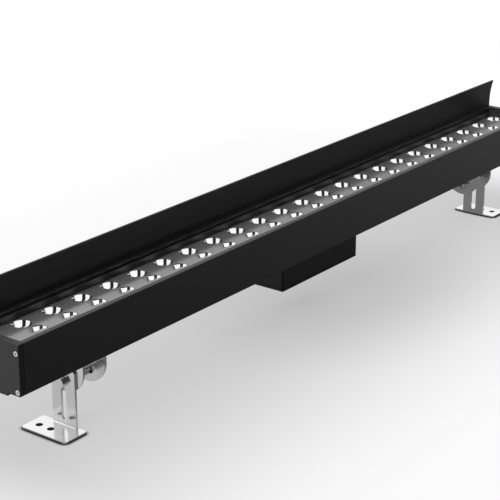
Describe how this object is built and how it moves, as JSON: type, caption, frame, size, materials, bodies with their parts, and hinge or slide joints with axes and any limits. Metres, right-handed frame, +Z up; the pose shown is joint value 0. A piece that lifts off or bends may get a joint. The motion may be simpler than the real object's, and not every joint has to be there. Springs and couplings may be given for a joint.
{
  "type": "linear LED wall washer light",
  "caption": "Linear outdoor wall washer: slim black housing, glass over two rows of round lenses, curved rear visor, driver box below and tilting, sliding steel brackets.",
  "frame": {"origin": "on the floor under the middle of the housing, in the plane of the feet's undersides", "axes": "+X along the housing, to the right when the visor is at the back, +Y towards the visor, +Z up out of the glass"},
  "size_m": [1, 0.076, 0.1658],
  "materials": {
    "black_body": "satin anodised black",
    "black_visor": "satin black sheet",
    "black_cap": "satin black die casting",
    "clear_glass": "clear toughened glass",
    "lens_plastic": "clear polished acrylic",
    "grey_mask": "matt grey",
    "white_board": "white solder mask",
    "led_chip": "yellow phosphor",
    "black_rubber": "matt black",
    "bracket_steel": "polished stainless",
    "bolt_steel": "plain stainless",
    "gland_plastic": "black nylon",
    "green_board": "green solder mask",
    "component_body": "dark potting"
  },
  "bodies": {
    "lamp": {"housing": "black_body", "visor": "black_visor", "visor_screws": "bolt_steel", "end_cap_left": "black_cap", "end_cap_right": "black_cap", "end_gasket_left": "black_rubber", "end_gasket_right": "black_rubber", "end_cap_screws_left": "bolt_steel", "end_cap_screws_right": "bolt_steel", "glass_cover": "clear_glass", "glass_seal": "black_rubber", "lens_mask": "grey_mask", "lens_front_row": "lens_plastic", "lens_back_row": "lens_plastic", "led_board": "white_board", "leds": "led_chip", "board_screws": "bolt_steel", "driver_box": "black_cap", "driver_box_gasket": "black_rubber", "driver_box_cover": "black_cap", "driver_box_screws": "bolt_steel", "driver_box_slot_nuts": "bolt_steel", "driver_box_bolts": "bolt_steel", "wire_grommet": "black_rubber", "driver_board": "green_board", "driver_components": "component_body", "cable_gland_body": "gland_plastic", "cable_gland_seal": "black_rubber", "cable_gland_nut": "gland_plastic", "cable_gland_locknut": "gland_plastic"},
    "left_carriage": {"left_hanger": "bracket_steel", "left_rail_bolts": "bolt_steel", "left_rail_nuts": "bolt_steel"},
    "left_stand": {"left_foot": "bracket_steel", "left_pivot_bolt": "bolt_steel", "left_lock_bolt": "bolt_steel", "left_bolt_washers": "bolt_steel", "left_bolt_nuts": "bolt_steel", "left_spacers": "bolt_steel"},
    "right_carriage": {"right_hanger": "bracket_steel", "right_rail_bolts": "bolt_steel", "right_rail_nuts": "bolt_steel"},
    "right_stand": {"right_foot": "bracket_steel", "right_pivot_bolt": "bolt_steel", "right_lock_bolt": "bolt_steel", "right_bolt_washers": "bolt_steel", "right_bolt_nuts": "bolt_steel", "right_spacers": "bolt_steel"}
  },
  "joints": [
    {"name": "left_slide", "type": "slide", "parent": "lamp", "child": "left_carriage", "axis": [1, 0, 0], "range_m": [-0.06, 0.25]},
    {"name": "left_tilt", "type": "hinge", "parent": "left_carriage", "child": "left_stand", "pos_m": [-0.38905, -0.0023, 0.0628], "axis": [1, 0, 0], "range_deg": [-45, 45]},
    {"name": "right_slide", "type": "slide", "parent": "lamp", "child": "right_carriage", "axis": [1, 0, 0], "range_m": [-0.25, 0.06]},
    {"name": "right_tilt", "type": "hinge", "parent": "right_carriage", "child": "right_stand", "pos_m": [0.38905, 0.0023, 0.0628], "axis": [1, 0, 0], "range_deg": [-45, 45]}
  ]
}
